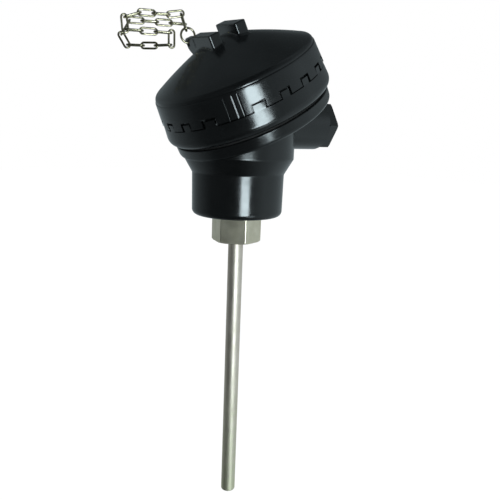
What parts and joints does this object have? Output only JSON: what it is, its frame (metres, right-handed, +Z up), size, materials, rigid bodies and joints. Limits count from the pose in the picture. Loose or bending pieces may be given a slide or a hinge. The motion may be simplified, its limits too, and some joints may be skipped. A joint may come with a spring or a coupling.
{
  "type": "resistance thermometer probe with connection head",
  "caption": "Slim steel thermometer probe with a hexagon fitting under a black moulded connection head that has a tilted screw cap on a chain and a side conduit entry.",
  "frame": {"origin": "centre of the hexagon's underside, where the probe tube comes out", "axes": "+Z up along the probe's axis into the head, +X along the conduit entry; the cap leans to -X"},
  "size_m": [0.1087, 0.0878, 0.2653],
  "materials": {
    "head_plastic": "moulded black plastic, half gloss",
    "cap_plastic": "moulded black plastic, half gloss",
    "gasket_rubber": "matt black rubber",
    "chain_steel": "bright plated wire",
    "fitting_steel": "turned stainless steel",
    "sheath_steel": "drawn stainless steel",
    "plug_steel": "welded stainless steel",
    "element_ceramic": "fired ceramic",
    "core_ceramic": "pressed powder insulation",
    "seal_resin": "cast resin",
    "sleeve_rubber": "silicone sleeve",
    "ferrule_tin": "tinned copper",
    "block_ceramic": "glazed ceramic",
    "clamp_brass": "machined brass",
    "screw_steel": "zinc plated steel",
    "wire_red": "insulated wire, red",
    "wire_white": "insulated wire, white"
  },
  "bodies": {
    "root": {"head_body": "head_plastic", "hex_fitting": "fitting_steel", "sheath_tube": "sheath_steel", "tip_plug": "plug_steel", "rtd_element": "element_ceramic", "insulation_core": "core_ceramic", "sheath_seal": "seal_resin", "wire_sleeve": "sleeve_rubber", "wire_ferrules": "ferrule_tin", "terminal_block": "block_ceramic", "terminal_clamps": "clamp_brass", "terminal_screws": "screw_steel", "block_screws": "screw_steel", "block_washers": "screw_steel", "brass_inserts": "clamp_brass", "lead_wire_1": "wire_red", "lead_wire_2": "wire_white", "lead_wire_3": "wire_red"},
    "cap_seal": {"cap_gasket": "gasket_rubber"},
    "cap": {"screw_cap": "cap_plastic", "chain_links": "chain_steel", "chain_hook": "chain_steel"}
  },
  "joints": [
    {"name": "cap_lift", "type": "slide", "parent": "root", "child": "cap_seal", "axis": [-0.4894, 0, 0.8721], "range_m": [0, 0.009]},
    {"name": "cap_turn", "type": "hinge", "parent": "cap_seal", "child": "cap", "pos_m": [0.00533, 0, 0.06809], "axis": [-0.4894, 0, 0.8721], "range_deg": [0, 1080]}
  ],
  "couplings": [
    {"joint": "cap_turn", "follows": "cap_lift", "rad_per_m": 2094.4}
  ]
}
